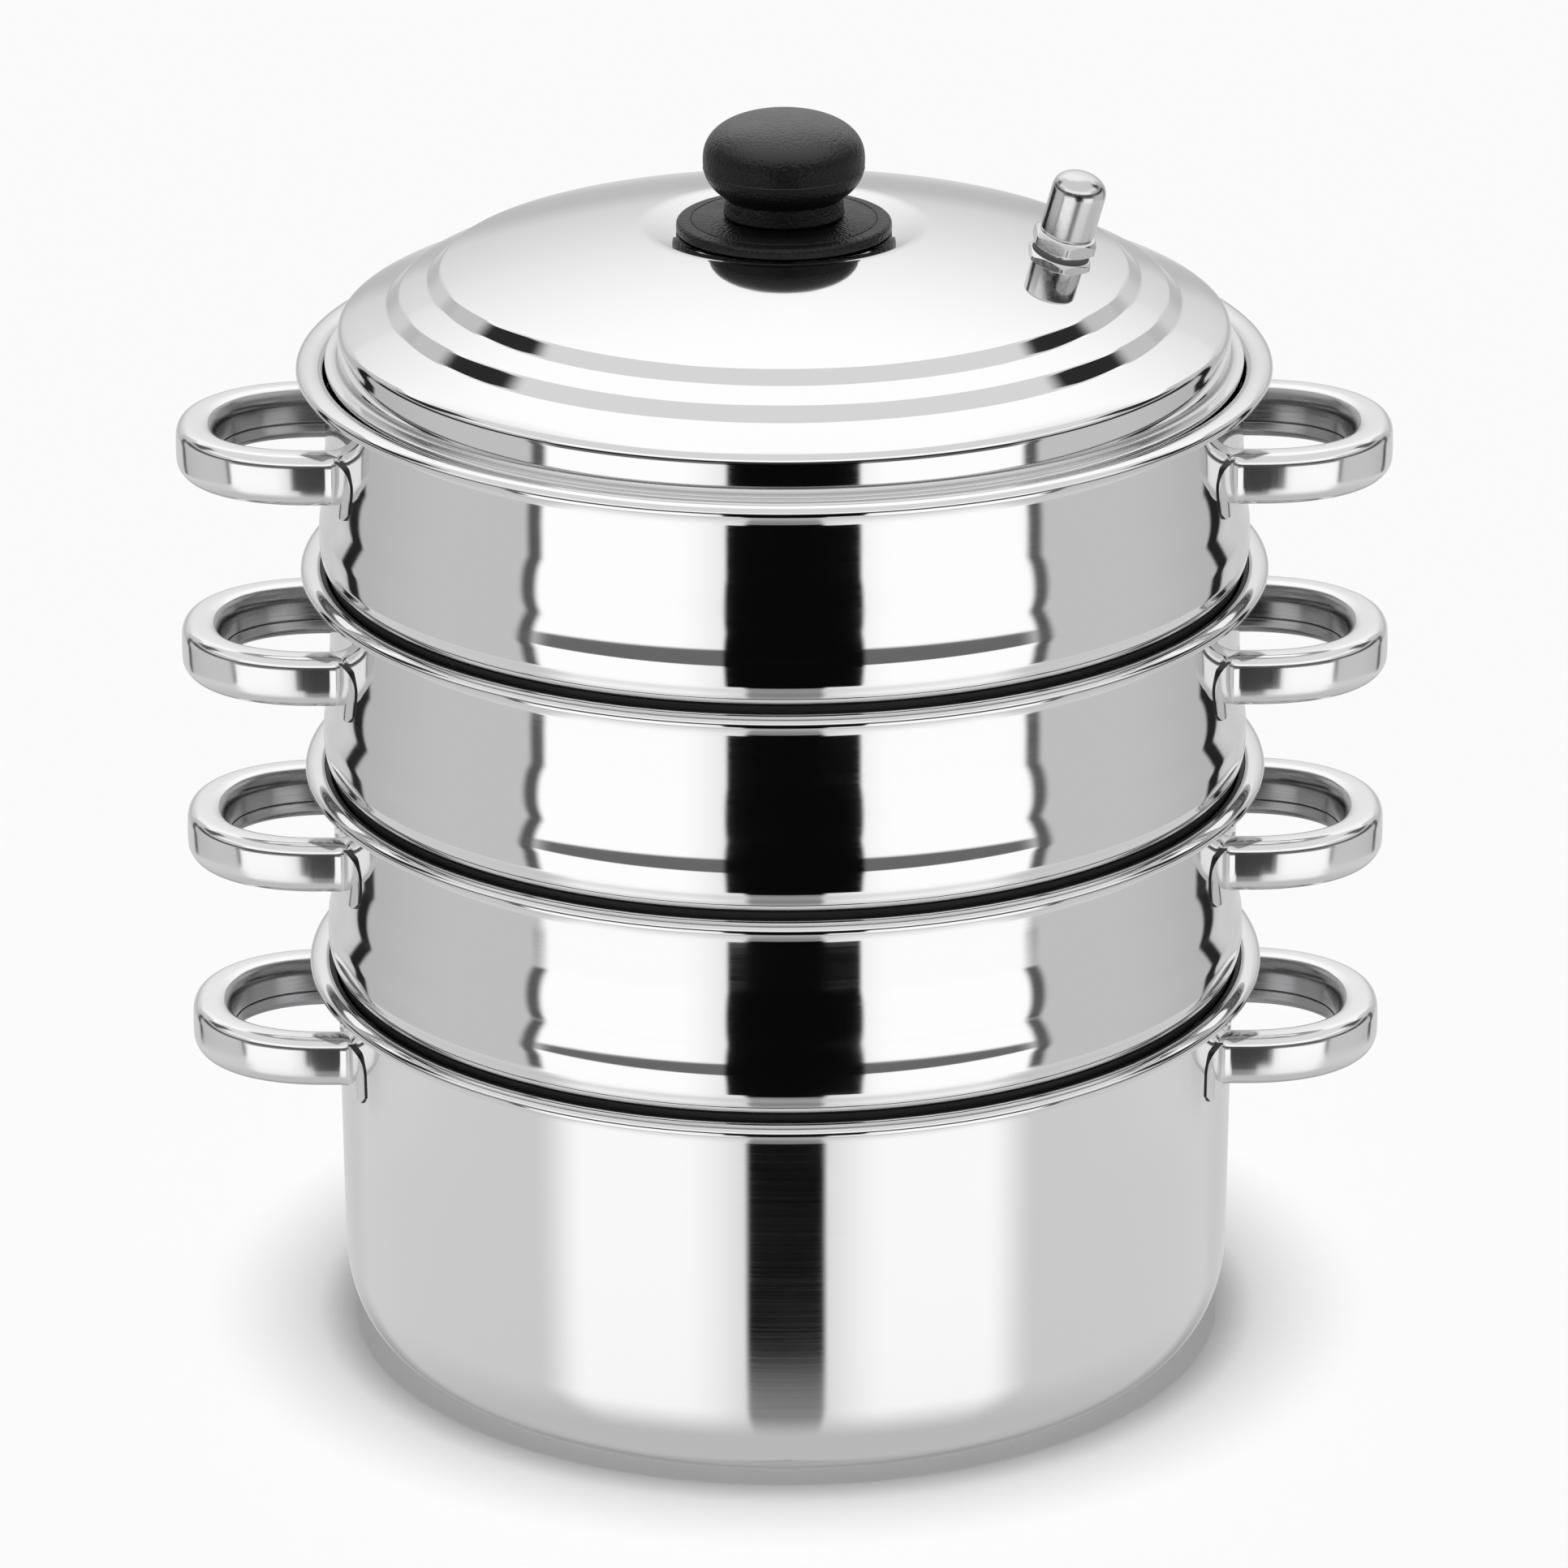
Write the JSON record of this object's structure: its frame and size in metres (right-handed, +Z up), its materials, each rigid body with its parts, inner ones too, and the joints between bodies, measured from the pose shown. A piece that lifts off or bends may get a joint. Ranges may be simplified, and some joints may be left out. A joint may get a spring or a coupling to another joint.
{
  "type": "food_steamer",
  "caption": "Stacked stainless steel food steamer: a base pot and nesting tiers with perforated floors and loop handles, under a domed lid with a ball knob and a capped steam vent.",
  "frame": {"origin": "on the floor, under the centre of the base pot", "axes": "+Z up, +X to the right-hand handles, -Y to the front with the vent right of the knob"},
  "size_m": [0.3184, 0.2544, 0.3347],
  "materials": {
    "polished_steel": "mirror-polished stainless steel sheet",
    "satin_steel": "satin stainless steel sheet",
    "turned_steel": "turned and polished steel",
    "black_moulding": "black heat-resistant moulding with a fine pebble grain",
    "grey_rubber": "grey silicone sealing ring"
  },
  "bodies": {
    "base": {"base_pot": "polished_steel", "base_handle_left": "polished_steel", "base_handle_right": "polished_steel"},
    "tier_1": {"tier_1_shell": "polished_steel", "tier_1_plate": "satin_steel", "tier_1_handle_left": "polished_steel", "tier_1_handle_right": "polished_steel"},
    "tier_2": {"tier_2_shell": "polished_steel", "tier_2_plate": "satin_steel", "tier_2_handle_left": "polished_steel", "tier_2_handle_right": "polished_steel"},
    "tier_3": {"tier_3_shell": "polished_steel", "tier_3_plate": "satin_steel", "tier_3_handle_left": "polished_steel", "tier_3_handle_right": "polished_steel"},
    "lid": {"lid_shell": "polished_steel", "knob": "black_moulding", "knob_disc": "black_moulding", "knob_screw": "turned_steel", "knob_washer": "turned_steel", "vent_bush": "turned_steel", "vent_stem": "turned_steel", "vent_gasket": "grey_rubber", "vent_lock_nut": "turned_steel"},
    "vent_cap": {"vent_cap": "turned_steel"}
  },
  "joints": [
    {"name": "tier_1_lift", "type": "slide", "parent": "base", "child": "tier_1", "axis": [0, 0, 1], "range_m": [0, 0.06]},
    {"name": "tier_2_lift", "type": "slide", "parent": "tier_1", "child": "tier_2", "axis": [0, 0, 1], "range_m": [0, 0.06]},
    {"name": "tier_3_lift", "type": "slide", "parent": "tier_2", "child": "tier_3", "axis": [0, 0, 1], "range_m": [0, 0.06]},
    {"name": "lid_lift", "type": "slide", "parent": "tier_3", "child": "lid", "axis": [0, 0, 1], "range_m": [0, 0.06]},
    {"name": "vent_cap_lift", "type": "slide", "parent": "lid", "child": "vent_cap", "axis": [0.2472, -0.1399, 0.9588], "range_m": [0, 0.03]}
  ]
}
